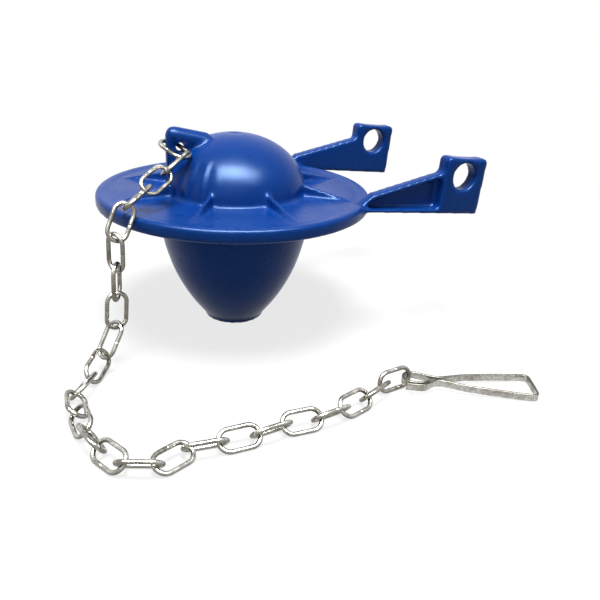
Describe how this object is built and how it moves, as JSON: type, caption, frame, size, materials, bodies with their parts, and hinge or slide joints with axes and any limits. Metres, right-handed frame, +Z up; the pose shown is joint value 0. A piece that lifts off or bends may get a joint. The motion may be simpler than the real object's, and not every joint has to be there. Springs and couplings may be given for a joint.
{
  "type": "toilet flapper",
  "caption": "Moulded rubber flush-valve flapper: flanged disc with hollow dome and cone, two eared pivot arms, and a wire-link lift chain ending in a clip.",
  "frame": {"origin": "on the table, under the middle of the box of the whole part, chain and clip included", "axes": "+Z up along the disc's axis, +Y towards the pivot ears, so the chain's lug points to -Y"},
  "size_m": [0.121, 0.1292, 0.0606],
  "materials": {
    "blue_rubber": "satin, smooth",
    "plated_wire": "bright nickel",
    "plated_strip": "satin nickel"
  },
  "bodies": {
    "root": {"flapper_body": "blue_rubber", "chain_link_00": "plated_wire", "chain_link_01": "plated_wire", "chain_link_02": "plated_wire", "chain_link_03": "plated_wire", "chain_link_04": "plated_wire", "chain_link_05": "plated_wire", "chain_link_06": "plated_wire", "chain_link_07": "plated_wire", "chain_link_08": "plated_wire", "chain_link_09": "plated_wire", "chain_link_10": "plated_wire", "chain_link_11": "plated_wire", "chain_link_12": "plated_wire", "chain_link_13": "plated_wire", "chain_link_14": "plated_wire", "chain_link_15": "plated_wire", "chain_link_16": "plated_wire", "chain_link_17": "plated_wire", "chain_link_18": "plated_wire", "chain_link_19": "plated_wire", "chain_link_20": "plated_wire", "chain_link_21": "plated_wire", "chain_link_22": "plated_wire", "chain_link_23": "plated_wire", "chain_link_24": "plated_wire", "chain_clip": "plated_strip"}
  },
  "joints": []
}
